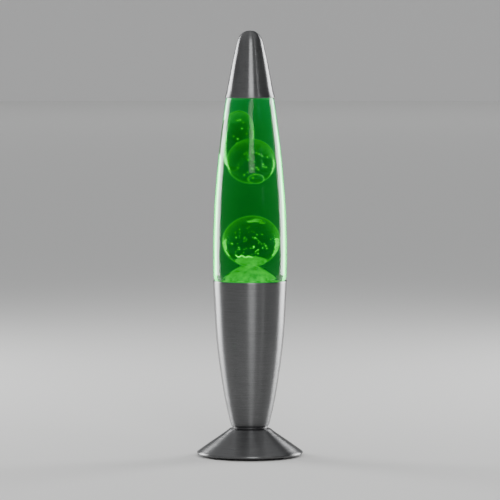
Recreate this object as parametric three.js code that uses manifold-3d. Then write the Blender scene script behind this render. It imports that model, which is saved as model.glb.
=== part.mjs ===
// Lava lamp: a tapered glass bottle of wax and dyed liquid standing in a spun aluminium base.
// Millimetres, Z up, the table at Z = 0, the front towards -Y and the cord gland at the back (+Y).
import * as THREE from 'three';
import { mergeVertices } from 'three/addons/utils/BufferGeometryUtils.js';
import Module from 'manifold-3d';

const wasm = await Module();
wasm.setup();

// Driving dimensions.
const sheet = 0.9; // thickness of the spun aluminium
const glassWall = 2.4; // thickness of the bottle
const film = 0.1; // gap between a filling and what holds it
const around = 28; // facets round the big shells
const aroundSmall = 16; // facets round the small turned pieces
const waistRadius = 15.9; // top of the foot
const footTop = 22.1;
const coneBottom = 24.2;
const coneTop = 140.8;
const holeRadius = 5.3; // clearance hole for the threaded tube
const bottleBottom = 104.5;
const fillLevel = 290;
const poolEdge = 139; // where the wax mound meets the glass
const poolCrown = 154; // top of the wax mound
const bulbRadius = 11;

// A finish for each kind of material.
const finish = (color, metalness, roughness, opacity = 1) =>
  new THREE.MeshStandardMaterial({ color, metalness, roughness, opacity, transparent: opacity < 1 });

const aluminium = () => finish(0xb9bcbe, 1, 0.32);
const steel = () => finish(0xa8a9ab, 1, 0.35);
const brass = () => finish(0xb8985a, 1, 0.3);
const blackPlastic = () => finish(0x17181a, 0, 0.5);
const palePlastic = () => finish(0xd9d5c8, 0, 0.45);
const rubber = () => finish(0x1c1c1d, 0, 0.85);
const clearGlass = () => finish(0xe9f4ee, 0, 0.03, 0.3);
const greenLiquid = () => finish(0x0a6a2c, 0, 0.05, 0.6);
const greenWax = () => finish(0x1fae3c, 0, 0.25);

// Helpers.
const lamp = new THREE.Group();
lamp.name = 'lava_lamp';

// A closed body from a three.js geometry.
function solid(geometry) {
  const bare = geometry.clone();
  bare.deleteAttribute('normal');
  bare.deleteAttribute('uv');
  const joined = mergeVertices(bare, 1e-4);
  const index = joined.index.array;
  const triangles = [];
  for (let i = 0; i < index.length; i += 3) {
    const [a, b, c] = [index[i], index[i + 1], index[i + 2]];
    if (a !== b && b !== c && c !== a) triangles.push(a, b, c);
  }
  return new wasm.Manifold(new wasm.Mesh({
    numProp: 3,
    vertProperties: new Float32Array(joined.attributes.position.array),
    triVerts: new Uint32Array(triangles),
  }));
}

// A profile of [radius, height] points turned round Z. It runs anticlockwise, and closes on itself off the axis.
function turned(profile, facets = aroundSmall) {
  const points = profile.map(([r, z]) => new THREE.Vector2(r, z));
  if (profile[0][0] > 0) points.push(points[0].clone());
  const geometry = new THREE.LatheGeometry(points, facets);
  geometry.rotateX(Math.PI / 2);
  return solid(geometry);
}

// A smooth line through [radius, height] stations.
function smooth(stations, steps) {
  const curve = new THREE.SplineCurve(stations.map(([r, z]) => new THREE.Vector2(r, z)));
  return curve.getSpacedPoints(steps).map((p) => [p.x, p.y]);
}

// The same line moved towards the axis and walked the other way.
const inside = (line, wall) => line.map(([r, z]) => [r - wall, z]).reverse();

function box(x0, x1, y0, y1, z0, z1) {
  const geometry = new THREE.BoxGeometry(x1 - x0, y1 - y0, z1 - z0);
  geometry.translate((x0 + x1) / 2, (y0 + y1) / 2, (z0 + z1) / 2);
  return solid(geometry);
}

function rod(radius, z0, z1, x = 0, y = 0, facets = 12) {
  const geometry = new THREE.CylinderGeometry(radius, radius, z1 - z0, facets);
  geometry.rotateX(Math.PI / 2);
  geometry.translate(x, y, (z0 + z1) / 2);
  return solid(geometry);
}

// A round wire swept along a smooth curve through points.
function wire(points, radius, steps, facets = 6) {
  const path = new THREE.CatmullRomCurve3(points.map(([x, y, z]) => new THREE.Vector3(x, y, z)));
  const section = new THREE.Shape();
  for (let i = 0; i < facets; i += 1) {
    const angle = (i / facets) * 2 * Math.PI;
    const place = [radius * Math.cos(angle), radius * Math.sin(angle)];
    if (i === 0) section.moveTo(...place);
    else section.lineTo(...place);
  }
  section.closePath();
  const geometry = new THREE.ExtrudeGeometry(section, { steps, bevelEnabled: false, extrudePath: path });
  return solid(geometry);
}

function add(name, body, material) {
  const { vertProperties, triVerts, numProp } = body.getMesh();
  const positions = new Float32Array((vertProperties.length / numProp) * 3);
  for (let i = 0; i < positions.length / 3; i += 1) {
    for (let k = 0; k < 3; k += 1) positions[3 * i + k] = vertProperties[numProp * i + k];
  }
  const geometry = new THREE.BufferGeometry();
  geometry.setAttribute('position', new THREE.BufferAttribute(positions, 3));
  geometry.setIndex(new THREE.BufferAttribute(new Uint32Array(triVerts), 1));
  const flat = geometry.toNonIndexed();
  flat.computeVertexNormals();
  const mesh = new THREE.Mesh(flat, material);
  mesh.name = name;
  lamp.add(mesh);
}

// Base: a flared foot and a tapered cup, spun from sheet and clamped at the waist by a threaded tube.
const coneWall = smooth([[16.0, 27.4], [20.4, 47.6], [24.5, 73.5], [27.3, 99], [28.6, 122], [29.5, 140]], 8);
add('base_cone', turned([
  [holeRadius, coneBottom],
  [14.9, coneBottom],
  [15.4, 24.9],
  ...coneWall,
  [29.3, coneTop],
  [28.8, coneTop],
  ...inside(coneWall, sheet),
  [14.2, 25.4],
  [holeRadius, 25.4],
], around), aluminium());

const flare = smooth([[40.9, 4.6], [32.0, 10.9], [22.7, 17.3], [18.2, 20.7], [waistRadius, footTop]], 4);
const flareUnder = smooth([[15.0, 21.1], [17.8, 19.4], [22.2, 16.2], [31.4, 9.9], [40.0, 3.9]], 4);
const cordHeight = 10.2;
const cordHoleRadius = 4.5;
const cordHole = solid(new THREE.CylinderGeometry(cordHoleRadius, cordHoleRadius, 30, 20))
  .translate([0, 40, cordHeight]);
add('base_foot', turned([
  [holeRadius, 21.1],
  ...flareUnder,
  [40.1, 2.6],
  [40.6, 1.95],
  [41.5, 1.7],
  [42.2, 2.1],
  [42.5, 2.9],
  [42.2, 3.7],
  ...flare,
  [holeRadius, footTop],
], around).subtract(cordHole), aluminium());

add('waist_ring', turned([[holeRadius, 22.2], [14.4, 22.2], [14.4, 24.1], [holeRadius, 24.1]], around), blackPlastic());

// The plate under the foot has a ring of vents and carries the rubber feet.
const ventCount = 8;
const ventCircle = 20;
const plateTop = 3.4;
const plateUnder = 2.4;
let plate = turned([[0, plateUnder], [39.7, plateUnder], [39.7, plateTop], [0, plateTop]], around);
for (let i = 0; i < ventCount; i += 1) {
  const angle = ((i + 0.5) / ventCount) * 2 * Math.PI;
  plate = plate.subtract(rod(1.8, 0, 5, ventCircle * Math.cos(angle), ventCircle * Math.sin(angle)));
}
add('bottom_plate', plate, blackPlastic());

const rubberFootCircle = 31;
for (let i = 0; i < 4; i += 1) {
  const angle = ((i + 0.5) / 4) * 2 * Math.PI;
  const foot = turned([[0, 0], [4.2, 0], [4.7, 0.5], [5.0, 2.3], [0, 2.3]], 16);
  add(`rubber_foot_${i + 1}`,
    foot.translate([rubberFootCircle * Math.cos(angle), rubberFootCircle * Math.sin(angle), 0]), rubber());
}

// The threaded tube and what clamps it.
add('threaded_tube', turned([[3.8, 15.6], [5.0, 15.6], [5.0, 34], [3.8, 34]]), steel());
add('foot_washer', turned([[holeRadius, 20.1], [9.2, 20.1], [9.2, 21.0], [holeRadius, 21.0]]), steel());
const hexNut = (z0, z1) => rod(8.1, z0, z1, 0, 0, 6).subtract(rod(5.1, z0 - 1, z1 + 1, 0, 0, 20));
add('foot_nut', hexNut(16.4, 20.0), steel());
add('holder_nut', hexNut(27.3, 30.3), steel());

// Lamp holder.
add('holder_cap', turned([
  [holeRadius, 25.6],
  [9.2, 25.6],
  [9.8, 26.2],
  [13.5, 35.6],
  [13.5, 38.0],
  [12.0, 38.0],
  [12.0, 35.9],
  [9.0, 27.1],
  [holeRadius, 27.1],
]), palePlastic());
const slot = (side) => box(side * 9.6 - 1.4, side * 9.6 + 1.4, -1.6, 1.6, 41, 45);
add('holder_body', turned([
  [0, 42.0],
  [11.4, 42.0],
  [11.9, 38.2],
  [13.5, 38.2],
  [13.5, 60.6],
  [12.7, 61.6],
  [7.9, 61.6],
  [7.9, 44.0],
  [0, 44.0],
]).subtract(slot(1)).subtract(slot(-1)), palePlastic());
add('holder_screw_shell', turned([[7.2, 46.4], [7.6, 46.4], [7.6, 61.0], [7.2, 61.0]]), brass());
add('holder_centre_contact', turned([[0, 44.1], [3.2, 44.1], [3.2, 44.6], [1.6, 45.6], [0, 45.7]]), brass());
const holderTerminal = (side) => box(side * 6.3 - 2.2, side * 6.3 + 2.2, -2.2, 2.2, 39.4, 41.9);
add('holder_terminal_live', holderTerminal(1), brass());
add('holder_terminal_neutral', holderTerminal(-1), brass());

// Wiring inside the base: a terminal block on the plate, and two leads up the threaded tube.
const blockFront = 13;
add('terminal_block', box(-6.4, 6.4, blockFront, blockFront + 10, plateTop + 0.1, 12.4), palePlastic());
const lead = (side) => wire([
  [side * 2.9, blockFront - 0.2, 8.2],
  [side * 2.6, 8, 8.0],
  [side * 1.9, 1.6, 10.6],
  [side * 1.7, 0, 16],
  [side * 1.7, 0, 25],
  [side * 1.8, 0, 33.6],
  [side * 4.4, 0, 36.8],
  [side * 6.2, 0, 38.6],
], 0.85, 14);
add('lead_live', lead(1), finish(0x6b3a1e, 0, 0.5));
add('lead_neutral', lead(-1), finish(0x23427a, 0, 0.5));
const blockScrew = (side) => rod(1.7, 12.5, 13.4, side * 2.9, blockFront + 5, 12);
add('terminal_screw_live', blockScrew(1), brass());
add('terminal_screw_neutral', blockScrew(-1), brass());

// Gland for a mains cord, low in the back of the foot.
const gland = turned([
  [3.4, 30.6],
  [4.2, 30.6],
  [4.2, 40.4],
  [4.9, 40.6],
  [4.9, 41.9],
  [4.4, 42.4],
  [3.4, 42.4],
]);
add('cord_gland', gland.rotate([-90, 0, 0]).translate([0, 0, cordHeight]), blackPlastic());

// Bulb: a small round bulb in the holder.
add('bulb_tip_contact', turned([[0, 46.0], [1.7, 46.0], [2.5, 46.7], [2.5, 47.6], [0, 47.6]]), steel());
add('bulb_insulator', turned([[0, 47.7], [4.3, 47.7], [6.2, 49.4], [6.2, 50.6], [0, 50.6]]), blackPlastic());
add('bulb_screw_shell', turned([
  [6.4, 49.8],
  [6.9, 50.4],
  [6.9, 65.2],
  [7.5, 66.2],
  [6.9, 66.2],
  [6.4, 65.3],
]), brass());
const globe = smooth([[6.1, 66.4], [9.0, 70.6], [bulbRadius, 77.4], [9.2, 84.4], [4.6, 88.3], [0, 89.2]], 6);
const globeInside = smooth([[0, 88.5], [4.3, 87.6], [8.5, 84.0], [10.3, 77.4], [8.4, 71.0], [5.4, 66.4]], 6);
add('bulb_envelope', turned([...globeInside, [5.4, 58], [6.1, 58], ...globe]), clearGlass());
add('bulb_stem', turned([[0, 56.5], [2.8, 56.5], [2.6, 58.5], [1.6, 63], [1.6, 69], [0, 69.4]], 12), clearGlass());
const support = (side) => wire([[side * 0.9, 0, 69.9], [side * 2.4, 0, 73], [side * 5.0, 0, 77.0]], 0.25, 5, 5);
add('bulb_support_1', support(1), steel());
add('bulb_support_2', support(-1), steel());
const filamentTurns = 5;
const filamentPath = [];
for (let i = 0; i <= filamentTurns * 6; i += 1) {
  const turn = (i / 6) * 2 * Math.PI;
  const along = -4.4 + (8.8 * i) / (filamentTurns * 6);
  filamentPath.push([along, 0.6 * Math.sin(turn), 78 + 0.6 * Math.cos(turn)]);
}
add('bulb_filament', wire(filamentPath, 0.14, filamentTurns * 6, 4), steel());

// Bottle: its lower end nests in the cup and its shoulder sits on the rim.
const bottleSeat = smooth([[26.0, 107.2], [26.7, 114], [27.6, 128], [28.2, 139.6]], 4);
const bottleWall = smooth([
  [29.0, 143.6],
  [29.3, 160],
  [29.1, 180],
  [28.1, 204],
  [26.3, 228],
  [23.9, 252],
  [21.4, 271],
  [19.1, 286.6],
], 10);
const innerWall = inside(bottleWall, glassWall);
const innerSeat = inside(bottleSeat, glassWall);
add('glass_bottle', turned([
  [0, bottleBottom],
  [24.2, bottleBottom],
  [25.5, 105.3],
  ...bottleSeat,
  [28.3, 141.2],
  ...bottleWall,
  [17.4, 289.9],
  [14.6, 293.4],
  [12.7, 296.4],
  [12.6, 299.2],
  [13.2, 300.0],
  [13.2, 302.6],
  [12.4, 303.4],
  [9.4, 303.4],
  [9.4, 297.0],
  [11.8, 292.6],
  [15.0, 289.0],
  ...innerWall,
  [25.9, 141.2],
  ...innerSeat,
  [22.6, 107.0],
  [0, 107.0],
], around), clearGlass());

add('crown_liner', turned([[0, 303.5], [12.6, 303.5], [12.6, 304.0], [0, 304.0]]), palePlastic());
add('crown_cap', turned([
  [0, 304.1],
  [13.3, 304.1],
  [13.7, 303.4],
  [15.3, 299.2],
  [15.7, 299.3],
  [14.3, 303.6],
  [13.4, 304.6],
  [0, 304.7],
], 24), steel());

// The wax mound: a broad dome that meets the glass near the rim of the cup.
const domeSteps = 5;
const poolRadius = 25.65;
const domeHeight = (r) => poolEdge + (poolCrown - poolEdge) * (1 + Math.cos((Math.PI * r) / poolRadius)) / 2;
const dome = (lift) => {
  const line = [];
  for (let i = 0; i <= domeSteps; i += 1) {
    const r = (poolRadius * i) / domeSteps;
    line.push([r, domeHeight(r) + lift]);
  }
  return line;
};
const coilCircle = 19.6;
const coilGroove = turned([[16.8, 105], [22.4, 105], [22.4, 112.6], [16.8, 112.6]], around);
const poolSeat = bottleSeat.map(([r, z]) => [r - glassWall - film, z]).filter(([, z]) => z < poolEdge - 1);
add('wax_pool', turned([
  [0, 107.1],
  [22.4, 107.1],
  ...poolSeat,
  ...dome(0).reverse(),
], around).subtract(coilGroove), greenWax());

// A wire spring bent into a ring, lying on the bottom of the bottle to warm the wax.
const coilTurns = 12;
const coilPath = [];
for (let i = 0; i <= coilTurns * 6; i += 1) {
  const turn = (i / 6) * 2 * Math.PI;
  const place = (i / (coilTurns * 6)) * 1.92 * Math.PI;
  const reach = coilCircle + 1.9 * Math.cos(turn);
  coilPath.push([reach * Math.cos(place), reach * Math.sin(place), 109.7 + 1.9 * Math.sin(turn)]);
}
add('heating_coil', wire(coilPath, 0.45, coilTurns * 6, 4), steel());

// A rounded lump of wax, as deep as it is wide unless it has a 'halfDepth', and 'sag' fatter low down. It is
// turned by 'lean' degrees and pushed over by 'shift' at its top. One on the mound is flattened 'rest' above it.
function lump({ centre, halfWidth, halfDepth = halfWidth, halfHeight, sag, lean, shift, rest }, grow = 0) {
  const geometry = new THREE.SphereGeometry(1, 16, 10);
  geometry.rotateX(Math.PI / 2);
  const place = geometry.attributes.position;
  for (let i = 0; i < place.count; i += 1) {
    const up = place.getZ(i);
    const fatness = 1 - sag * up;
    const across = place.getX(i) * (halfWidth + grow) * fatness + shift[0] * up;
    const back = place.getY(i) * (halfDepth + grow) * fatness + shift[1] * up;
    place.setXYZ(i, across, back, up * (halfHeight + grow));
  }
  geometry.rotateY(THREE.MathUtils.degToRad(lean));
  geometry.translate(...centre);
  if (rest) {
    for (let i = 0; i < place.count; i += 1) {
      const lowest = domeHeight(Math.hypot(place.getX(i), place.getY(i))) + rest - grow;
      place.setZ(i, Math.max(place.getZ(i), lowest));
    }
  }
  return solid(geometry);
}

const lowerLump = {
  centre: [0.8, 0, 172.6], halfWidth: 17.2, halfHeight: 19.7, sag: 0.03, lean: 5, shift: [0, 0], rest: 0.5,
};
const middleLump = {
  centre: [0.9, -8.6, 236], halfWidth: 16.8, halfDepth: 11.4, halfHeight: 17.5, sag: 0.03, lean: 0, shift: [0, 0],
};
const upperLump = {
  centre: [-6.9, 9.2, 250.8], halfWidth: 8.6, halfHeight: 24.2, sag: -0.22, lean: 0, shift: [0.9, -3.7],
};
const lumps = [lowerLump, middleLump, upperLump];

// The liquid fills the bottle round the wax; a thread of it joins each hollow to the next and to the top.
const liquidWall = bottleWall.map(([r, z]) => [r - glassWall - film, z]);
let liquid = turned([
  ...dome(film),
  [25.8, 141.2],
  ...liquidWall,
  [15.0, 288.8],
  [13.6, fillLevel],
  [0, fillLevel],
], around);
for (const wax of lumps) liquid = liquid.subtract(lump(wax, film));
const passages = [
  rod(0.7, 150, 160, 0.8, 0, 6),
  rod(0.7, 188, 225, 1.8, -8.2, 6),
  rod(0.7, 262, 295, -6.4, 7.4, 6),
];
for (const passage of passages) liquid = liquid.subtract(passage);
add('liquid', liquid, greenLiquid());
add('wax_blob_lower', lump(lowerLump), greenWax());
add('wax_blob_middle', lump(middleLump), greenWax());
add('wax_blob_upper', lump(upperLump), greenWax());

// Cap: a hollow spun shell that stands over the neck, its lip just proud of the glass.
const capWall = smooth([[20.0, 286.9], [18.6, 292], [16.2, 304.6], [14.2, 314.6], [12.1, 324], [10.6, 330.6]], 6);
const capTip = smooth([[9.4, 333.8], [7.4, 336.8], [4.2, 339.2], [0, 340]], 4);
const capTipInside = smooth([[0, 339.0], [3.9, 338.2], [6.6, 336.2], [8.5, 333.4]], 4);
add('cap_shell', turned([
  ...capTipInside,
  ...inside(capWall, sheet - 0.1).slice(0, -1),
  [19.3, 286.6],
  [19.9, 286.6],
  ...capWall,
  ...capTip,
], around), aluminium());

export default lamp;
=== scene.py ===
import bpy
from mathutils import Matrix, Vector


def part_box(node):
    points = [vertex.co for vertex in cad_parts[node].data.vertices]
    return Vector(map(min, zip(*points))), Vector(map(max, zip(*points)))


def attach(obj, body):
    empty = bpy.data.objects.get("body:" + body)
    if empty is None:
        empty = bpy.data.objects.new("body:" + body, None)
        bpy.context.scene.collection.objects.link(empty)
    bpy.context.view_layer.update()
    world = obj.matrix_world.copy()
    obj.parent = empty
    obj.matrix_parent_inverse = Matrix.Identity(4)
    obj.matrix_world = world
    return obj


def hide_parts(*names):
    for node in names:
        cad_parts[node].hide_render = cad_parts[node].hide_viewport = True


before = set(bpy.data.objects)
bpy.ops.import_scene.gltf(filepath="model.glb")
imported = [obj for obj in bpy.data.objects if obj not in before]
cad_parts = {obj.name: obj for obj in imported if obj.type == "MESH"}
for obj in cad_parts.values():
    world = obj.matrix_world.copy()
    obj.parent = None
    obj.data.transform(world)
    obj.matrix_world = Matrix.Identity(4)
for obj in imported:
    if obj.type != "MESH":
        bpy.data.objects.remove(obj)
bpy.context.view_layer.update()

import math
import random

import bmesh
import bpy
from mathutils import Matrix, Vector

MM = 0.001
ROUND = 160  # facets round a large turned shell
FINE = 24  # straight pieces between two stations of a smooth line

# Driving dimensions in millimetres, and counts
SHEET = 0.9  # thickness of the base's spun aluminium, measured sideways
CAP_SHEET = 0.8
HOLE = 5.3  # radius of the hole for the threaded tube
WALL = 2.4  # thickness of the bottle
CORD_HEIGHT = 10.2
CORD_HOLE = 4.5
VENT_COUNT = 8
VENT_CIRCLE = 20
VENT_RADIUS = 1.8
RUBBER_FOOT_CIRCLE = 31
NUT_CORNER = 8.1
TUBE_PITCH = 1.0
TUBE_THREAD = (16.0, 33.6)  # the heights between which the tube is threaded
SCREW_PITCH = 2.822  # rise for each turn of the bulb
BLOCK_SCREW = (2.9, 18)  # how far to the side and back the terminal screws are
POOL_RADIUS = 25.65
POOL_EDGE = 139  # where the wax mound meets the glass
POOL_CROWN = 154  # top of the wax mound
COIL_CIRCLE = 19.6
COIL_RADIUS = 1.9
COIL_HEIGHT = 109.7
COIL_TURNS = 12
COIL_SWEEP = 1.92 * math.pi  # how far round the bottle the spring goes
FILL_LEVEL = 290  # top of the liquid
FLUTES = 21  # round the crown cap
FILAMENT_TURNS = 20
SOAK = 0.25  # the liquid reaches a little into the glass so that no film of air shows between them
FILM_NEAR = 0.03  # the glowing film's inner skin stands this far outside its lump
FILM_FAR = 0.23


# ---------------------------------------------------------------- materials
def nodes_of(name):
    material = bpy.data.materials.new(name)
    material.use_nodes = True
    tree = material.node_tree
    return material, tree, tree.nodes["Principled BSDF"]


def add(tree, kind, **settings):
    """A new node with its settings."""
    node = tree.nodes.new(kind)
    for key, value in settings.items():
        setattr(node, key, value)
    return node


def math_node(tree, operation, a, b=None):
    node = add(tree, "ShaderNodeMath", operation=operation)
    for socket, value in zip(node.inputs, (a, b)):
        if value is None:
            continue
        if isinstance(value, (int, float)):
            socket.default_value = value
        else:
            tree.links.new(value, socket)
    return node.outputs[0]


def place(tree):
    return add(tree, "ShaderNodeTexCoord").outputs["Object"]


def noise(tree, vector, scale, detail=3.0, roughness=0.55):
    node = add(tree, "ShaderNodeTexNoise")
    node.inputs["Scale"].default_value = scale
    node.inputs["Detail"].default_value = detail
    node.inputs["Roughness"].default_value = roughness
    tree.links.new(vector, node.inputs["Vector"])
    return node.outputs["Fac"]


def spread(tree, value, low, high, from_low=0.3, from_high=0.7):
    node = add(tree, "ShaderNodeMapRange")
    node.inputs["From Min"].default_value = from_low
    node.inputs["From Max"].default_value = from_high
    node.inputs["To Min"].default_value = low
    node.inputs["To Max"].default_value = high
    tree.links.new(value, node.inputs["Value"])
    return node.outputs[0]


def tint(tree, value, dark, light, low=0.35, high=0.65):
    ramp = add(tree, "ShaderNodeValToRGB")
    ramp.color_ramp.elements[0].position = low
    ramp.color_ramp.elements[1].position = high
    ramp.color_ramp.elements[0].color = (*dark, 1)
    ramp.color_ramp.elements[1].color = (*light, 1)
    tree.links.new(value, ramp.inputs[0])
    return ramp.outputs[0]


def bump(tree, shader, height, strength, distance=0.0001):
    node = add(tree, "ShaderNodeBump")
    node.inputs["Strength"].default_value = strength
    node.inputs["Distance"].default_value = distance
    tree.links.new(height, node.inputs["Height"])
    tree.links.new(node.outputs[0], shader.inputs["Normal"])


def round_the_axis(tree, turns, height):
    """Coordinates that follow the circumference: slow round it, quick along the axis."""
    split = add(tree, "ShaderNodeSeparateXYZ")
    tree.links.new(place(tree), split.inputs[0])
    angle = math_node(tree, "ARCTAN2", split.outputs[1], split.outputs[0])
    join = add(tree, "ShaderNodeCombineXYZ")
    sine = math_node(tree, "SINE", angle)
    cosine = math_node(tree, "COSINE", angle)
    tree.links.new(math_node(tree, "MULTIPLY", sine, turns), join.inputs[0])
    tree.links.new(math_node(tree, "MULTIPLY", cosine, turns), join.inputs[1])
    tree.links.new(math_node(tree, "MULTIPLY", split.outputs[2], height), join.inputs[2])
    return join.outputs[0]


def spun_metal(name, dark, light, rough, grain=2600.0, anisotropy=0.7):
    """Metal with fine lines round it, left by spinning and brushing, and a few cloudy marks."""
    material, tree, shader = nodes_of(name)
    lines = noise(tree, round_the_axis(tree, 1.6, grain), 1.0, 4.0, 0.7)
    speckle = noise(tree, place(tree), 1500.0, 2.0, 0.6)
    clouds = noise(tree, place(tree), 55.0, 3.0)
    line_share = math_node(tree, "MULTIPLY", lines, 0.6)
    speckle_share = math_node(tree, "MULTIPLY", speckle, 0.4)
    both = math_node(tree, "ADD", line_share, speckle_share)
    tree.links.new(tint(tree, both, dark, light), shader.inputs["Base Color"])
    wear = spread(tree, clouds, -0.04, 0.05)
    rough_lines = spread(tree, lines, rough - 0.05, rough + 0.06)
    tree.links.new(math_node(tree, "ADD", rough_lines, wear), shader.inputs["Roughness"])
    shader.inputs["Metallic"].default_value = 1.0
    shader.inputs["Anisotropic"].default_value = anisotropy
    shader.inputs["Anisotropic Rotation"].default_value = 0.25  # highlights run across the brushed lines
    tangent = add(tree, "ShaderNodeTangent", direction_type="RADIAL", axis="Z")
    tree.links.new(tangent.outputs[0], shader.inputs["Tangent"])
    bump(tree, shader, lines, 0.05, 0.00004)
    return material


def moulded(name, dark, light, rough, scale=900.0, strength=0.25, metallic=0.0):
    """Moulded or plated stuff with a fine skin texture and uneven gloss."""
    material, tree, shader = nodes_of(name)
    skin = noise(tree, place(tree), scale, 4.0)
    patches = noise(tree, place(tree), scale / 14, 3.0)
    tree.links.new(tint(tree, patches, dark, light), shader.inputs["Base Color"])
    tree.links.new(spread(tree, patches, rough - 0.08, rough + 0.1), shader.inputs["Roughness"])
    shader.inputs["Metallic"].default_value = metallic
    bump(tree, shader, skin, strength, 0.00008)
    return material


def clear(name, ior, rough=0.0, absorb=None, dye=None, glow=None, gloss=1.0):
    """Clear stuff: glass, liquid or warm wax. The dye takes light away as it goes through. The glow stands
    for the bulb's light caught inside, and gloss below 1 turns the mirror-like reflection down."""
    material, tree, shader = nodes_of(name)
    shader.inputs["Base Color"].default_value = (1, 1, 1, 1)
    shader.inputs["Roughness"].default_value = rough
    shader.inputs["IOR"].default_value = ior
    shader.inputs["Specular Tint"].default_value = (gloss, gloss, gloss, 1)
    shader.inputs["Transmission Weight"].default_value = 1.0
    if absorb:
        volume = add(tree, "ShaderNodeVolumeAbsorption")
        volume.inputs["Color"].default_value = (*dye, 1)
        volume.inputs["Density"].default_value = absorb
        tree.links.new(volume.outputs[0], tree.nodes["Material Output"].inputs["Volume"])
    if glow:
        shader.inputs["Emission Color"].default_value = (*glow, 1)
        shader.inputs["Emission Strength"].default_value = 1.0
    return material


aluminium = spun_metal("spun_aluminium", (0.1, 0.101, 0.103), (0.15, 0.151, 0.153), 0.33, anisotropy=0.9)
steel = spun_metal("plated_steel", (0.45, 0.45, 0.46), (0.62, 0.62, 0.63), 0.32, 400.0, 0.2)
brass = moulded("brass", (0.62, 0.46, 0.2), (0.78, 0.6, 0.3), 0.28, 700.0, 0.15, 1.0)
black = moulded("black_plastic", (0.012, 0.012, 0.013), (0.028, 0.028, 0.03), 0.42)
rubber = moulded("rubber", (0.015, 0.015, 0.015), (0.035, 0.034, 0.033), 0.75, 1500.0, 0.4)
pale = moulded("pale_plastic", (0.62, 0.6, 0.54), (0.76, 0.74, 0.68), 0.38)
brown = moulded("brown_insulation", (0.10, 0.035, 0.015), (0.17, 0.06, 0.03), 0.45)
blue = moulded("blue_insulation", (0.02, 0.05, 0.22), (0.035, 0.08, 0.32), 0.45)
glass = clear("clear_glass", 1.5, absorb=60.0, dye=(0.72, 0.98, 0.94), gloss=0.1)
bulb_glass = clear("bulb_glass", 1.45)
liquid_look = clear("green_liquid", 1.33, absorb=150.0, dye=(0.0, 0.815, 0.42), glow=(0.0, 0.02, 0.003),
                    gloss=0.1)
lump_look = clear("clear_green_wax", 1.13, rough=0.1, absorb=110.0, dye=(0.0, 0.42, 0.0),
                  glow=(0.0, 0.006, 0.0006), gloss=0.2)
# A darker copy of the clear wax for the upper lump at the back: painted shade
shaded_lump_look = clear("clear_green_wax_shaded", 1.13, rough=0.1, absorb=110.0, dye=(0.0, 0.1, 0.0),
                       glow=(0.0, 0.006, 0.0006), gloss=0.2)


def glowing_film(name, power):
    """A thin hollow shell round a lump, a painted rim glow: it gives off light all through, in place of the
    bulb's light caught at the lump's skin, so it shows most where it is seen edge on, because more of it is
    in line."""
    material, tree, shader = nodes_of(name)
    tree.nodes.remove(shader)
    opening = add(tree, "ShaderNodeBsdfTransparent")
    tree.links.new(opening.outputs[0], tree.nodes["Material Output"].inputs["Surface"])
    light = add(tree, "ShaderNodeEmission")
    light.inputs["Color"].default_value = (0.0, 1.0, 0.06, 1)
    light.inputs["Strength"].default_value = power
    tree.links.new(light.outputs[0], tree.nodes["Material Output"].inputs["Volume"])
    return material


# Painted rim glow for each lump, strongest for the upper lump at the back
film_look = glowing_film("painted_rim_glow", 310.0)
middle_film_look = glowing_film("painted_rim_glow_middle", 290.0)
back_film_look = glowing_film("painted_rim_glow_back", 480.0)
drop_look = clear("clear_green_wax_drop", 1.08, absorb=110.0, dye=(0.0, 0.9, 0.0), glow=(0.0, 0.02, 0.002),
                  gloss=0.2)


def glowing_wax(name, low, high, scale):
    """Thick wax. It gives off light of its own in place of the bulb's, unevenly, as if it were cloudy."""
    material, tree, shader = nodes_of(name)
    cloud = noise(tree, place(tree), scale, 4.0)
    color = tint(tree, cloud, (0.0, low, low * 0.06), (0.0, high, high * 0.06), 0.35, 0.65)
    tree.links.new(tint(tree, cloud, (0.0, 0.08, 0.0), (0.0, 0.2, 0.0)), shader.inputs["Base Color"])
    tree.links.new(color, shader.inputs["Emission Color"])
    shader.inputs["Emission Strength"].default_value = 1.0
    tree.links.new(spread(tree, cloud, 0.2, 0.4), shader.inputs["Roughness"])
    bump(tree, shader, cloud, 0.3, 0.0006)
    return material


def filament_glow():
    material, tree, shader = nodes_of("filament")
    streaks = noise(tree, place(tree), 2000.0)
    tree.links.new(tint(tree, streaks, (0.3, 0.2, 0.1), (0.6, 0.4, 0.2)), shader.inputs["Base Color"])
    shader.inputs["Metallic"].default_value = 1.0
    shader.inputs["Emission Color"].default_value = (1.0, 0.62, 0.25, 1)
    shader.inputs["Emission Strength"].default_value = 12.0
    return material


wax = glowing_wax("glowing_wax", 0.45, 1.0, 160.0)
# The beads glow far brighter than the mound: painted bright specks
beads = glowing_wax("wax_beads", 4.0, 8.0, 500.0)
filament = filament_glow()


# ---------------------------------------------------------------- shapes
def smooth(stations, steps):
    """A Catmull-Rom line through points of 2 or 3 coordinates, evenly spaced along its length."""
    size = len(stations[0])
    points = [Vector(station).to_3d() for station in stations]
    fine = []
    for i in range(len(points) - 1):
        before, start = points[max(i - 1, 0)], points[i]
        end, after = points[i + 1], points[min(i + 2, len(points) - 1)]
        for k in range(FINE):
            t = k / FINE
            a = -0.5 * before + 1.5 * start - 1.5 * end + 0.5 * after
            b = before - 2.5 * start + 2 * end - 0.5 * after
            c = -0.5 * before + 0.5 * end
            fine.append(((a * t + b) * t + c) * t + start)
    fine.append(points[-1])
    lengths = [0.0]
    for p, q in zip(fine, fine[1:]):
        lengths.append(lengths[-1] + (q - p).length)
    line, k = [], 0
    for i in range(steps + 1):
        goal = lengths[-1] * i / steps
        while k < len(lengths) - 2 and lengths[k + 1] < goal:
            k += 1
        share = (goal - lengths[k]) / (lengths[k + 1] - lengths[k])
        p = fine[k].lerp(fine[k + 1], min(max(share, 0), 1))
        line.append(tuple(p)[:size])
    return line


def inside(line, wall):
    """The same line moved towards the axis and walked the other way."""
    return [(r - wall, z) for r, z in reversed(line)]


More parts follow.
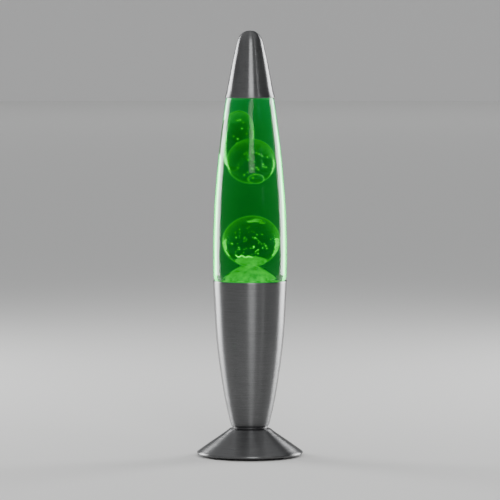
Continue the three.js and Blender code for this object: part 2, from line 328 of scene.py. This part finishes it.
def finished(name, body_mesh, material, body, stands_for, sharp=35, at=None, turn_out=True):
    """Makes the piece. stands_for is the CAD node it replaces, or None for loose wax in or round a lump and
    for the shells of painted rim glow. Faces are turned outwards unless turn_out is False, as for a hollow
    film."""
    mesh = bpy.data.meshes.new(name)
    if at:
        bmesh.ops.transform(body_mesh, matrix=at, verts=body_mesh.verts)
    if turn_out:
        bmesh.ops.recalc_face_normals(body_mesh, faces=body_mesh.faces)
    body_mesh.to_mesh(mesh)
    body_mesh.free()
    mesh.shade_smooth()
    if sharp:
        mesh.set_sharp_from_angle(angle=math.radians(sharp))
    mesh.materials.append(material)
    piece = bpy.data.objects.new(name, mesh)
    bpy.context.scene.collection.objects.link(piece)
    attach(piece, body)
    if stands_for:
        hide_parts(stands_for)
    return piece


def turned_mesh(profile, facets=ROUND, wave=None):
    """A [radius, height] profile, in millimetres, turned round Z. wave(angle, r, z) may shift the radius."""
    body_mesh = bmesh.new()
    closed = profile[0][0] > 1e-6
    rings = []
    for r, z in profile:
        if r < 1e-6:
            rings.append([body_mesh.verts.new((0, 0, z * MM))])
            continue
        ring = []
        for i in range(facets):
            angle = 2 * math.pi * i / facets
            reach = r + (wave(angle, r, z) if wave else 0)
            spot = (reach * math.cos(angle) * MM, reach * math.sin(angle) * MM, z * MM)
            ring.append(body_mesh.verts.new(spot))
        rings.append(ring)
    pairs = list(zip(rings, rings[1:]))
    if closed:
        pairs.append((rings[-1], rings[0]))
    for low, high in pairs:
        if len(low) == 1 and len(high) == 1:
            continue
        for i in range(facets):
            j = (i + 1) % facets
            if len(low) == 1:
                body_mesh.faces.new((low[0], high[j], high[i]))
            elif len(high) == 1:
                body_mesh.faces.new((low[i], low[j], high[0]))
            else:
                body_mesh.faces.new((low[i], low[j], high[j], high[i]))
    return body_mesh


def turned(name, profile, material, body, stands_for, facets=ROUND, wave=None, sharp=35, at=None):
    return finished(name, turned_mesh(profile, facets, wave), material, body, stands_for, sharp, at)


def wire(name, points, radius, material, body, stands_for, sides=16):
    """A round wire through points in millimetres, with flat ends."""
    body_mesh = bmesh.new()
    path = [Vector(point) * MM for point in points]
    across = (path[1] - path[0]).orthogonal().normalized()
    rings = []
    for i, spot in enumerate(path):
        ahead = (path[min(i + 1, len(path) - 1)] - path[max(i - 1, 0)]).normalized()
        across = (across - ahead * across.dot(ahead)).normalized()
        over = ahead.cross(across)
        ring = []
        for k in range(sides):
            angle = 2 * math.pi * k / sides
            out = across * math.cos(angle) + over * math.sin(angle)
            ring.append(body_mesh.verts.new(spot + out * radius * MM))
        rings.append(ring)
    for near, far in zip(rings, rings[1:]):
        for k in range(sides):
            n = (k + 1) % sides
            body_mesh.faces.new((near[k], near[n], far[n], far[k]))
    body_mesh.faces.new(list(reversed(rings[0])))
    body_mesh.faces.new(rings[-1])
    finished(name, body_mesh, material, body, stands_for, 40)


def straight(r, low, high, steps):
    """A straight stretch of a profile with enough points for a thread to show in it."""
    return [(r, low + (high - low) * i / steps) for i in range(steps + 1)]


def thread(pitch, depth, low, high, reach=0.0):
    """A right-handed round thread between two heights, on the skins farther out than reach."""
    def wave(angle, r, z):
        if r < reach or not low <= z <= high:
            return 0
        fade = min((z - low) / pitch, (high - z) / pitch, 1)
        return -depth * fade * (1 - math.cos(2 * math.pi * z / pitch - angle)) / 2
    return wave


def ribs(count, depth, low, high, reach):
    """Grip ribs between two heights, on the skins farther out than reach."""
    def wave(angle, r, z):
        return -depth * (1 - math.cos(count * angle)) / 2 if r > reach and low < z < high else 0
    return wave


def cutter_of(body_mesh):
    """A tool for cut(), from a closed shape."""
    mesh = bpy.data.meshes.new("cutter")
    body_mesh.to_mesh(mesh)
    body_mesh.free()
    cutter = bpy.data.objects.new("cutter", mesh)
    bpy.context.scene.collection.objects.link(cutter)
    return cutter


def cylinder_cutter(radius, low, high, at):
    body_mesh = turned_mesh([(0, low), (radius, low), (radius, high), (0, high)], 48)
    bmesh.ops.transform(body_mesh, matrix=at, verts=body_mesh.verts)
    bmesh.ops.recalc_face_normals(body_mesh, faces=body_mesh.faces)
    return cutter_of(body_mesh)


def box_mesh(low, high, bevel=0.0):
    """A block between two corners in millimetres, its edges rounded by bevel."""
    body_mesh = bmesh.new()
    bmesh.ops.create_cube(body_mesh, size=1.0)
    for vert in body_mesh.verts:
        vert.co = Vector([(a + b) / 2 + (b - a) * c for a, b, c in zip(low, high, vert.co)]) * MM
    if bevel:
        bmesh.ops.bevel(body_mesh, geom=body_mesh.edges[:], offset=bevel * MM, segments=4, profile=0.5,
                        affect="EDGES")
    return body_mesh


def box_cutter(low, high):
    return cutter_of(box_mesh(low, high))


def rounded_block(name, material, body, stands_for, bevel):
    """The CAD node's own box with its edges rounded."""
    low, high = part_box(stands_for)
    corners = [[value / MM for value in corner] for corner in (low, high)]
    finished(name, box_mesh(*corners, bevel), material, body, stands_for, 50)


def cut(piece, cutter):
    """Takes cutter away from piece for good."""
    modifier = piece.modifiers.new("cut", "BOOLEAN")
    modifier.operation = "DIFFERENCE"
    modifier.solver = "EXACT"
    modifier.object = cutter
    bpy.context.view_layer.update()
    evaluated = piece.evaluated_get(bpy.context.evaluated_depsgraph_get())
    mesh = bpy.data.meshes.new_from_object(evaluated)
    piece.modifiers.clear()
    mesh.set_sharp_from_angle(angle=math.radians(35))
    piece.data = mesh
    bpy.data.objects.remove(cutter)


# Base shells
cone_wall = smooth([(16.0, 27.4), (20.4, 47.6), (24.5, 73.5), (27.3, 99), (28.6, 122), (29.5, 139.4)], 40)
turned("base_cone_spun", [
    (HOLE, 24.2), (14.4, 24.2), (15.0, 24.5), (15.4, 25.2), *cone_wall,
    (29.5, 140.3), (29.3, 140.75), (29.0, 140.8), (28.75, 140.6), (28.6, 140.1), *inside(cone_wall, SHEET),
    (14.2, 25.4), (HOLE, 25.4),
], aluminium, "base", "base_cone")

flare = smooth([(41.2, 4.4), (32.0, 10.95), (22.7, 17.35), (18.6, 20.3), (16.6, 21.9)], 24)
flare_under = smooth([(15.0, 21.1), (17.8, 19.4), (22.2, 16.2), (31.4, 9.9), (40.0, 3.9)], 16)
foot = turned("base_foot_spun", [
    (HOLE, 21.1), *flare_under,
    (40.1, 3.0), (40.2, 2.4), (40.6, 1.95), (41.1, 1.75), (41.6, 1.72), (42.1, 1.95), (42.4, 2.4),
    (42.5, 2.9), (42.4, 3.4), (42.0, 3.9), *flare,
    (15.9, 22.1), (HOLE, 22.1),
], aluminium, "base", "base_foot")

towards_back = Matrix.Translation((0, 0, CORD_HEIGHT * MM)) @ Matrix.Rotation(math.radians(-90), 4, "X")
cut(foot, cylinder_cutter(CORD_HOLE, 25, 55, towards_back))

turned("waist_ring_moulded", [
    (HOLE, 22.2), (13.9, 22.2), (14.3, 22.4), (14.4, 22.8), (14.2, 23.1), (14.4, 23.4), (14.3, 23.9),
    (13.9, 24.1), (HOLE, 24.1),
], black, "base", "waist_ring")

plate = turned("bottom_plate_moulded", [
    (0, 2.4), (33.8, 2.4), (34.1, 2.7), (35.0, 2.7), (35.3, 2.4), (39.3, 2.4), (39.6, 2.5), (39.7, 2.8),
    (39.7, 3.2), (39.5, 3.4), (0, 3.4),
], black, "base", "bottom_plate", sharp=30)
for i in range(VENT_COUNT):
    turn = 2 * math.pi * (i + 0.5) / VENT_COUNT
    spot = Matrix.Translation((VENT_CIRCLE * MM * math.cos(turn), VENT_CIRCLE * MM * math.sin(turn), 0))
    cut(plate, cylinder_cutter(VENT_RADIUS, 1, 5, spot))

for i in range(4):
    turn = math.radians(45 + 90 * i)
    across = RUBBER_FOOT_CIRCLE * MM * math.cos(turn)
    back = RUBBER_FOOT_CIRCLE * MM * math.sin(turn)
    spot = Matrix.Translation((across, back, 0))
    turned(f"rubber_foot_{i + 1}_moulded", [
        (0, 0.7), (1.5, 0.7), (1.8, 0.2), (2.1, 0.0), (4.0, 0.0), (4.4, 0.12), (4.65, 0.4), (4.8, 1.0),
        (4.95, 1.9), (5.0, 2.3), (0, 2.3),
    ], rubber, "base", f"rubber_foot_{i + 1}", 64, at=spot)

turned("cord_gland_moulded", [
    (3.4, 30.6), (4.05, 30.6), (4.2, 30.8), (4.2, 40.3), (4.6, 40.42), (4.85, 40.7), (4.9, 41.0),
    (4.9, 41.6), (4.75, 42.05), (4.4, 42.35), (4.0, 42.4), (3.6, 42.25), (3.4, 41.8),
], black, "base", "cord_gland", 72, at=towards_back)

# What clamps the base together
turned("threaded_tube_rolled", [
    (3.8, 15.9), (4.1, 15.6), (4.7, 15.6), *straight(5.0, *TUBE_THREAD, 140), (4.7, 34.0), (4.1, 34.0),
    (3.8, 33.7),
], steel, "base", "threaded_tube", 64, thread(TUBE_PITCH, 0.3, *TUBE_THREAD, 4.9))
turned("foot_washer_pressed", [
    (HOLE, 20.1), (8.9, 20.1), (9.1, 20.2), (9.2, 20.4), (9.2, 20.8), (9.0, 21.0), (HOLE, 21.0),
], steel, "base", "foot_washer", 96)


def hexagon(angle, r, z):
    """Flattens the outside of a nut to six sides."""
    side = NUT_CORNER * math.cos(math.pi / 6) / math.cos(angle % (math.pi / 3) - math.pi / 6)
    return min(side - r, 0) if r > 6 else 0


for name, low, high in (("foot_nut", 16.4, 20.0), ("holder_nut", 27.3, 30.3)):
    turned(f"{name}_milled", [
        (5.4, low), (7.0, low), (7.5, low + 0.2), (NUT_CORNER, low + 0.55), (NUT_CORNER, high - 0.55),
        (7.5, high - 0.2), (7.0, high), (5.4, high), (5.1, high - 0.3), (5.1, low + 0.3),
    ], steel, "base", name, 96, hexagon, sharp=20)

# Lamp holder
turned("holder_cap_moulded", [
    (HOLE, 25.6), (9.0, 25.6), (9.5, 25.8), (9.9, 26.4), (11.3, 30.0), (13.3, 35.1), (13.45, 35.6),
    (13.5, 36.0), (13.5, 36.3), (13.5, 37.3), (13.5, 37.6), (13.35, 37.95), (13.1, 38.0), (12.2, 38.0),
    (12.0, 37.8), (12.0, 35.9), (9.25, 27.5), (8.9, 27.1), (HOLE, 27.1),
], pale, "base", "holder_cap", 144, ribs(36, 0.2, 36.1, 37.5, 13.4))
holder = turned("holder_body_moulded", [
    (0, 42.0), (11.25, 42.0), (11.45, 41.7), (11.9, 38.5), (12.1, 38.2), (13.3, 38.2), (13.5, 38.4),
    (13.5, 39.3), (13.5, 39.8), (13.5, 46.4), (13.5, 46.9), (13.5, 60.3), (13.4, 60.8), (13.1, 61.3),
    (12.6, 61.58), (12.2, 61.6), (8.3, 61.6), (8.0, 61.5), (7.9, 61.2), (7.9, 44.0), (0, 44.0),
], pale, "base", "holder_body", 144, ribs(36, 0.25, 39.5, 46.6, 13.4))
for side in (-1, 1):
    cut(holder, box_cutter((9.6 * side - 1.4, -1.6, 41), (9.6 * side + 1.4, 1.6, 45)))
turned("holder_screw_shell_rolled", [
    *straight(7.6, 46.4, 61.0, 90), *straight(7.4, 61.0, 46.4, 90),
], brass, "base", "holder_screw_shell", 96, thread(SCREW_PITCH, 0.2, 46.4, 61.0), sharp=0)
turned("holder_centre_contact_pressed", [
    (0, 44.1), (3.0, 44.1), (3.2, 44.2), (3.2, 44.55), (2.6, 44.85), (1.7, 45.45), (1.2, 45.65), (0, 45.7),
], brass, "base", "holder_centre_contact", 64)
for side in ("live", "neutral"):
    rounded_block(f"holder_terminal_{side}_cast", brass, "base", f"holder_terminal_{side}", 0.35)
rounded_block("terminal_block_moulded", pale, "base", "terminal_block", 0.6)
for side, name in ((1, "live"), (-1, "neutral")):
    screw_x, screw_y = BLOCK_SCREW[0] * side, BLOCK_SCREW[1]
    spot = Matrix.Translation((screw_x * MM, screw_y * MM, 0))
    screw = turned(f"terminal_screw_{name}_turned", [
        (0, 12.5), (1.7, 12.5), (1.7, 13.0), (1.55, 13.25), (1.1, 13.4), (0, 13.4),
    ], brass, "base", f"terminal_screw_{name}", 48, at=spot)
    cut(screw, box_cutter((screw_x - 2, screw_y - 0.25, 13.05), (screw_x + 2, screw_y + 0.25, 14)))
    route = [(2.9, 12.8, 8.2), (2.6, 8, 8.0), (1.9, 1.6, 10.6), (1.7, 0, 16), (1.7, 0, 25), (1.8, 0, 33.6),
             (4.4, 0, 36.8), (6.2, 0, 38.6)]
    wire(f"lead_{name}_sleeved", smooth([(x * side, y, z) for x, y, z in route], 90), 0.85,
         brown if name == "live" else blue, "base", f"lead_{name}")

# Bulb
turned("bulb_tip_contact_soldered", [
    (0, 46.0), (1.0, 46.05), (1.8, 46.25), (2.3, 46.6), (2.5, 47.0), (2.5, 47.6), (0, 47.6),
], steel, "bulb_foot", "bulb_tip_contact", 64)
turned("bulb_insulator_moulded", [
    (0, 47.7), (4.2, 47.7), (4.6, 47.9), (6.0, 49.2), (6.2, 49.5), (6.2, 50.4), (6.0, 50.6), (0, 50.6),
], black, "bulb", "bulb_insulator", 72)
turned("bulb_screw_shell_rolled", [
    (6.5, 49.8), (6.75, 50.0), *straight(6.9, 50.5, 65.0, 90), (7.1, 65.6), (7.5, 66.1), (7.4, 66.2),
    (7.0, 66.1), (6.8, 65.5), *straight(6.65, 65.0, 50.5, 90), (6.5, 50.1),
], brass, "bulb", "bulb_screw_shell", 96, thread(SCREW_PITCH, 0.22, 50.5, 65.0), sharp=0)
globe = smooth([(6.1, 66.4), (9.0, 70.6), (11.0, 77.4), (9.2, 84.4), (4.6, 88.3), (0, 89.2)], 40)
globe_inside = smooth([(0, 88.5), (4.3, 87.6), (8.5, 84.0), (10.3, 77.4), (8.4, 71.0), (5.4, 66.4)], 40)
envelope_line = [*globe_inside, (5.4, 58), (6.1, 58), *globe]
turned("bulb_envelope_blown", envelope_line, bulb_glass, "bulb", "bulb_envelope", 96, sharp=0)
turned("bulb_stem_pinched", [
    (0, 56.5), (2.7, 56.5), (2.8, 57.0), (2.6, 58.5), (2.1, 60.5), (1.65, 63), (1.6, 66), (1.6, 68.6),
    (1.3, 69.2), (0, 69.4),
], bulb_glass, "bulb", "bulb_stem", 48, sharp=0)
for side, number in ((1, 1), (-1, 2)):
    hook = [(0.9, 0, 68.9), (1.2, 0, 70.6), (2.6, 0, 73.2), (4.4, 0, 75.9), (5.0, 0, 77.0)]
    route = smooth([(x * side, y, z) for x, y, z in hook], 30)
    wire(f"bulb_support_{number}_drawn", route, 0.25, steel, "bulb", f"bulb_support_{number}")
coil_points = [(-5.0, 0.0, 77.3)]
for i in range(FILAMENT_TURNS * 16 + 1):
    turn = 2 * math.pi * i / 16
    along = -4.4 + 8.8 * i / (FILAMENT_TURNS * 16)
    coil_points.append((along, 0.6 * math.sin(turn), 78 + 0.6 * math.cos(turn)))
coil_points.append((5.0, 0.0, 77.3))
wire("bulb_filament_wound", coil_points, 0.08, filament, "bulb", "bulb_filament", 8)

# Bottle, liquid and wax
seat = smooth([(26.0, 107.2), (26.7, 114), (27.6, 128), (28.2, 139.6)], 12)
wall = smooth([
    (29.0, 143.6), (29.3, 160), (29.1, 180), (28.1, 204), (26.3, 228), (23.9, 252), (21.4, 271),
    (19.1, 286.6),
], 60)
glass_inside = [
    (9.4, 303.4), (9.4, 297.0), (11.8, 292.6), (15.0, 289.0), *inside(wall, WALL),
    (25.9, 141.2), *inside(seat, WALL), (22.6, 107.0), (0, 107.0),
]
turned("glass_bottle_blown", [
    (0, 104.9), (12, 104.8), (23.0, 104.5), (24.2, 104.5), (25.2, 105.0), (25.8, 106.0), *seat,
    (28.3, 141.2), (28.5, 142.2), (28.8, 142.9), *wall,
    (17.4, 289.9), (14.6, 293.4), (12.7, 296.4), (12.6, 299.2), (13.2, 300.0), (13.2, 302.6), (12.4, 303.4),
    *glass_inside,
], glass, "bottle", "glass_bottle", sharp=0)

liquid_skin = [
    (0, FILL_LEVEL), (13.6, FILL_LEVEL), (15.0 + SOAK, 288.8), *inside(wall, WALL - SOAK),
    (25.9 + SOAK, 141.2), *inside(seat, WALL - SOAK), (22.6, 107.0 - SOAK), (0, 107.0 - SOAK),
]
turned("liquid_fill", list(reversed(liquid_skin)), liquid_look, "bottle", "liquid", sharp=0)


def dome_height(r):
    """How high the wax mound stands at a radius."""
    share = (1 + math.cos(math.pi * min(r / POOL_RADIUS, 1))) / 2
    return POOL_EDGE + (POOL_CROWN - POOL_EDGE) * share


def uneven(angle, r, z):
    """Pushes the mound's top a little out of round."""
    return 0.35 * math.sin(3 * angle + z * 0.2) if z > POOL_EDGE + 0.5 and r < 25 else 0


DOME_STEPS = 24
dome = []
for i in range(DOME_STEPS + 1):
    r = (POOL_RADIUS - 0.05) * i / DOME_STEPS
    dome.append((r, dome_height(r)))
pool_seat = [(r - WALL - 0.15, z) for r, z in seat if z < POOL_EDGE - 1]
turned("wax_pool_melted", [
    (0, 107.2), (22.3, 107.2), *pool_seat, *reversed(dome),
], wax, "bottle", "wax_pool", sharp=0, wave=uneven)


def lump_mesh(centre, half_width, half_depth, half_height, sag=0.0, lean=0, shift=(0, 0), rest=0, grow=0.0):
    """A rounded, slightly uneven lump. sag makes it fatter low down, lean turns it by degrees and shift
    pushes its top over. With a rest, it lies that far above the mound, pressed to its shape."""
    body_mesh = bmesh.new()
    bmesh.ops.create_icosphere(body_mesh, subdivisions=6, radius=1.0)
    turn = Matrix.Rotation(math.radians(lean), 3, "Y")
    for vert in body_mesh.verts:
        x, y, up = vert.co
        swell = 1 - 0.012 * (1 + math.sin(2.3 * x + 1.7 * up + centre[0]) * math.cos(1.9 * y - up)) / 2
        fatness = (1 - sag * up) * swell
        across = x * (half_width + grow) * fatness + shift[0] * up
        back = y * (half_depth + grow) * fatness + shift[1] * up
        point = turn @ Vector((across, back, up * (half_height + grow)))
        point += Vector(centre)
        if rest:
            lowest = dome_height(math.hypot(point.x, point.y)) + rest - grow
            gap = point.z - lowest
            if gap < 3:  # near the mound the corner is rounded
                point.z = lowest + (gap + math.sqrt(gap * gap + 0.6)) / 2
        vert.co = point * MM
    bmesh.ops.recalc_face_normals(body_mesh, faces=body_mesh.faces)
    return body_mesh


def lump(name, shape, body, node, look=lump_look):
    finished(name, lump_mesh(**shape), look, body, node, 0)


def film(name, shape, body, look):
    """A hollow film just outside a lump, which carries the painted rim glow."""
    body_mesh = lump_mesh(**shape, grow=FILM_FAR)
    hollow = lump_mesh(**shape, grow=FILM_NEAR)
    bmesh.ops.reverse_faces(hollow, faces=hollow.faces)
    mesh = bpy.data.meshes.new("hollow")
    hollow.to_mesh(mesh)
    hollow.free()
    body_mesh.from_mesh(mesh)
    bpy.data.meshes.remove(mesh)
    finished(name, body_mesh, look, body, None, 0, turn_out=False)


def ellipsoid(centre, half_width, half_depth, half_height, **more):
    """What lump_mesh takes, by name."""
    return dict(centre=centre, half_width=half_width, half_depth=half_depth, half_height=half_height, **more)


lower_lump = ellipsoid((0.8, 0, 172.6), 17.2, 17.2, 19.7, sag=0.03, lean=5, rest=0.3)
middle_lump = ellipsoid((0.9, -8.6, 236), 16.8, 11.4, 17.5, sag=0.03)
upper_lump = ellipsoid((-6.9, 9.2, 250.8), 8.6, 8.6, 24.2, sag=-0.22, shift=(0.9, -3.7))
lump("wax_lump_lower", lower_lump, "blob_lower", "wax_blob_lower")
lump("wax_lump_middle", middle_lump, "blob_middle", "wax_blob_middle")
lump("wax_lump_upper", upper_lump, "blob_upper", "wax_blob_upper", shaded_lump_look)
film("rim_glow_shell_lower", lower_lump, "blob_lower", film_look)
film("rim_glow_shell_middle", middle_lump, "blob_middle", middle_film_look)
film("rim_glow_shell_upper", upper_lump, "blob_upper", back_film_look)


def wax_beads(name, centre, reach, count, seed, body):
    """Small beads of wax caught in a lump, each a little out of round."""
    draw = random.Random(seed)
    body_mesh = bmesh.new()
    for _ in range(count):
        while True:
            spot = Vector([draw.uniform(-1, 1) for _ in range(3)])
            if spot.length < 1:
                break
        radius = draw.uniform(0.2, 0.38) * MM
        squash = Vector([draw.uniform(0.75, 1.25) for _ in range(3)])
        place_at = Vector([(c + r * share) * MM for c, r, share in zip(centre, reach, spot)])
        made = bmesh.ops.create_icosphere(body_mesh, subdivisions=2, radius=radius)
        for vert in made["verts"]:
            vert.co = Vector([a * b for a, b in zip(vert.co, squash)]) + place_at
    finished(name, body_mesh, beads, body, None, 0)


wax_beads("wax_beads_lower", (0.8, -3, 172), (12, 9, 13), 56, 11, "blob_lower")
wax_beads("wax_beads_middle", (1.2, -9, 235), (11, 6, 12), 34, 5, "blob_middle")
wax_beads("wax_beads_upper", (-6.2, 6.6, 258), (5, 5, 12), 10, 3, "blob_upper")
# A strand of the same bright glowing wax low on the lower lump: painted light
strand = smooth([
    (-9.4, -8.4, 162), (-7.4, -9.4, 160.4), (-5.2, -10, 161.8), (-3, -10.4, 160.2), (-0.8, -10.6, 161.2),
    (1.6, -10.4, 160.2),
], 50)
wire("wax_strand_lower", strand, 0.3, beads, "blob_lower", None, 10)

# A clear drop at the foot of the middle lump, and round it, facing the front, a ring of glowing wax: a
# painted bright rim
DROP_AT = (4.2, -13.2, 222.4)
RIM_RING_STEPS = 72
lump("wax_drop_middle", ellipsoid(DROP_AT, 5.6, 5.2, 3.6), "blob_middle", None, drop_look)
rim_ring = []
for i in range(RIM_RING_STEPS + 1):
    turn = 2 * math.pi * i / RIM_RING_STEPS
    rim_ring.append((DROP_AT[0] + 5.5 * math.cos(turn), DROP_AT[1], DROP_AT[2] + 3.5 * math.sin(turn)))
wire("painted_rim_ring_middle", rim_ring, 0.4, wax, "blob_middle", None, 12)

# Thick wax that has not cleared, made to glow: painted light in place of the bulb's. The foot of the lower
# lump, and patches at its top
for name, shape in (
    ("wax_foot_lower", ellipsoid((0.6, -2, 157), 9.8, 9.0, 4.6, rest=0.7)),
    ("wax_patch_lower", ellipsoid((4.2, -6.0, 188.9), 3.6, 3.4, 1.5, sag=0.3, lean=0.2)),
    ("wax_crumb_lower", ellipsoid((0.4, -7.0, 188.1), 2.4, 2.0, 0.9, sag=0.2, lean=0.3)),
    ("wax_fleck_lower", ellipsoid((7.6, -6.0, 186.9), 1.8, 1.6, 0.8, sag=0.3, lean=-0.2)),
):
    lump(name, shape, "blob_lower", None, wax)

# The wire spring that lies in a ring on the bottom of the bottle
COIL_STEPS = 24  # for each of its turns
coil_route = []
for i in range(COIL_TURNS * COIL_STEPS + 1):
    turn = 2 * math.pi * i / COIL_STEPS
    along = COIL_SWEEP * i / (COIL_TURNS * COIL_STEPS)
    out = COIL_CIRCLE + COIL_RADIUS * math.cos(turn)
    height = COIL_HEIGHT + COIL_RADIUS * math.sin(turn)
    coil_route.append((out * math.cos(along), out * math.sin(along), height))
wire("heating_coil_wound", coil_route, 0.45, steel, "bottle", "heating_coil", 10)

turned("crown_liner_cut", [
    (0, 303.5), (12.4, 303.5), (12.6, 303.6), (12.6, 303.9), (12.4, 304.0), (0, 304.0),
], pale, "bottle", "crown_liner", 96)


def fluted(angle, r, z):
    """The crimps round a crown cap, deepest at its lower edge."""
    depth = 0.5 * min(max((303.4 - z) / 3, 0), 1)
    return -depth * (1 - math.cos(FLUTES * angle)) / 2


turned("crown_cap_pressed", [
    (0, 304.15), (12.6, 304.15), (13.2, 304.0), (13.8, 303.5), (14.2, 302.6), (14.5, 301.6), (14.8, 300.6),
    (15.1, 299.8), (15.4, 299.2), (15.7, 299.3), (15.4, 300.1), (15.1, 300.9), (14.85, 301.8),
    (14.55, 302.8), (14.1, 303.8), (13.5, 304.4), (12.8, 304.65), (12.2, 304.7), (8.6, 304.7),
    (8.1, 304.55), (0, 304.55),
], steel, "bottle", "crown_cap", FLUTES * 8, fluted)

# Cap
cap_wall = smooth([(20.0, 287.2), (18.6, 292), (16.2, 304.6), (14.2, 314.6), (12.1, 324), (10.6, 330.6)], 36)
cap_tip = smooth([(10.6, 330.6), (9.4, 333.8), (7.3, 336.9), (4.0, 339.3), (0, 340)], 18)[1:]
cap_tip_inside = smooth([(0, 339.1), (3.7, 338.4), (6.5, 336.2), (8.5, 333.4)], 10)
turned("cap_spun", [
    *cap_tip_inside, *inside(cap_wall, CAP_SHEET)[1:-1],
    (19.25, 287.0), (19.35, 286.7), (19.6, 286.6), (19.85, 286.7), *cap_wall, *cap_tip,
], aluminium, "cap", "cap_shell")

# ---------------------------------------------------------------- studio and camera
scene = bpy.context.scene
floor_mesh = bpy.data.meshes.new("floor")
FAR = 400.0  # metres from the lamp to the floor's edges
floor_mesh.from_pydata([(-FAR, -FAR, 0), (FAR, -FAR, 0), (FAR, FAR, 0), (-FAR, FAR, 0)], [], [(0, 1, 2, 3)])
floor = bpy.data.objects.new("floor", floor_mesh)
scene.collection.objects.link(floor)
floor_look, _, floor_shader = nodes_of("floor")
floor_shader.inputs["Base Color"].default_value = (0.7, 0.7, 0.69, 1)
floor_shader.inputs["Roughness"].default_value = 0.6
floor_mesh.materials.append(floor_look)

world = bpy.data.worlds.new("studio")
world.use_nodes = True
world.node_tree.nodes["Background"].inputs[0].default_value = (0.9, 0.95, 1.0, 1)
world.node_tree.nodes["Background"].inputs[1].default_value = 0.1
scene.world = world

LAMP_MIDDLE = 0.17  # metres above the floor


def panel(name, azimuth, distance, height, wide, tall, power):
    """A soft box that faces the lamp, in metres and watts. Azimuth 0 is the front and 90 the right."""
    data = bpy.data.lights.new(name, "AREA")
    data.shape = "RECTANGLE"
    data.size = wide
    data.size_y = tall
    data.energy = power
    light = bpy.data.objects.new(name, data)
    scene.collection.objects.link(light)
    a = math.radians(azimuth)
    light.location = (math.sin(a) * distance, -math.cos(a) * distance, height)
    aim = Vector((0, 0, LAMP_MIDDLE)) - light.location
    light.rotation_euler = aim.to_track_quat("-Z", "Y").to_euler()
    light.visible_camera = False


for side in (-1, 1):
    panel(f"low_panel_{side}", 126 * side, distance=1.3, height=0.33, wide=0.62, tall=0.66, power=24)
panel("front_strip", 6, distance=1.7, height=0.86, wide=0.64, tall=0.86, power=15)
panel("thin_strip", 43, distance=1.7, height=0.8, wide=0.06, tall=1.1, power=1.5)

# A low pale wall far off, so that what the bottle bends into view is as pale as the floor.
wall_mesh = bpy.data.meshes.new("far_wall")
RING_SIDES = 64
RING_RADIUS = 9  # metres
RING_HEIGHT = 1.6
foot_ring = []
top_ring = []
ring_faces = []
for i in range(RING_SIDES):
    turn = 2 * math.pi * i / RING_SIDES
    x, y = RING_RADIUS * math.cos(turn), RING_RADIUS * math.sin(turn)
    foot_ring.append((x, y, 0))
    top_ring.append((x, y, RING_HEIGHT))
    j = (i + 1) % RING_SIDES
    ring_faces.append((i, j, RING_SIDES + j, RING_SIDES + i))
wall_mesh.from_pydata(foot_ring + top_ring, [], ring_faces)
far_wall = bpy.data.objects.new("far_wall", wall_mesh)
scene.collection.objects.link(far_wall)
wall_look, _, wall_shader = nodes_of("far_wall")
wall_shader.inputs["Base Color"].default_value = (0.5, 0.5, 0.5, 1)
wall_shader.inputs["Emission Color"].default_value = (0.93, 0.93, 0.93, 1)
wall_shader.inputs["Emission Strength"].default_value = 0.19
wall_mesh.materials.append(wall_look)

sun_data = bpy.data.lights.new("overhead", "SUN")
sun_data.energy = 1.6
sun_data.angle = math.radians(120)
sun = bpy.data.objects.new("overhead", sun_data)
sun.rotation_euler = (math.radians(12), math.radians(-10), 0)
scene.collection.objects.link(sun)

# A long lens, a little above the lamp and straight in front of it
SENSOR = 36  # millimetres
VIEW_ANGLE = 6.53  # degrees across the picture
AIM = Vector((0, 0, 0.165))  # metres
camera_data = bpy.data.cameras.new("camera")
camera_data.sensor_width = SENSOR
camera_data.lens = SENSOR / 2 / math.tan(math.radians(VIEW_ANGLE) / 2)
camera_data.clip_end = 1000
camera = bpy.data.objects.new("camera", camera_data)
camera.location = (0, -3.49, 0.394)
camera.rotation_euler = (AIM - camera.location).to_track_quat("-Z", "Y").to_euler()
scene.collection.objects.link(camera)
scene.camera = camera
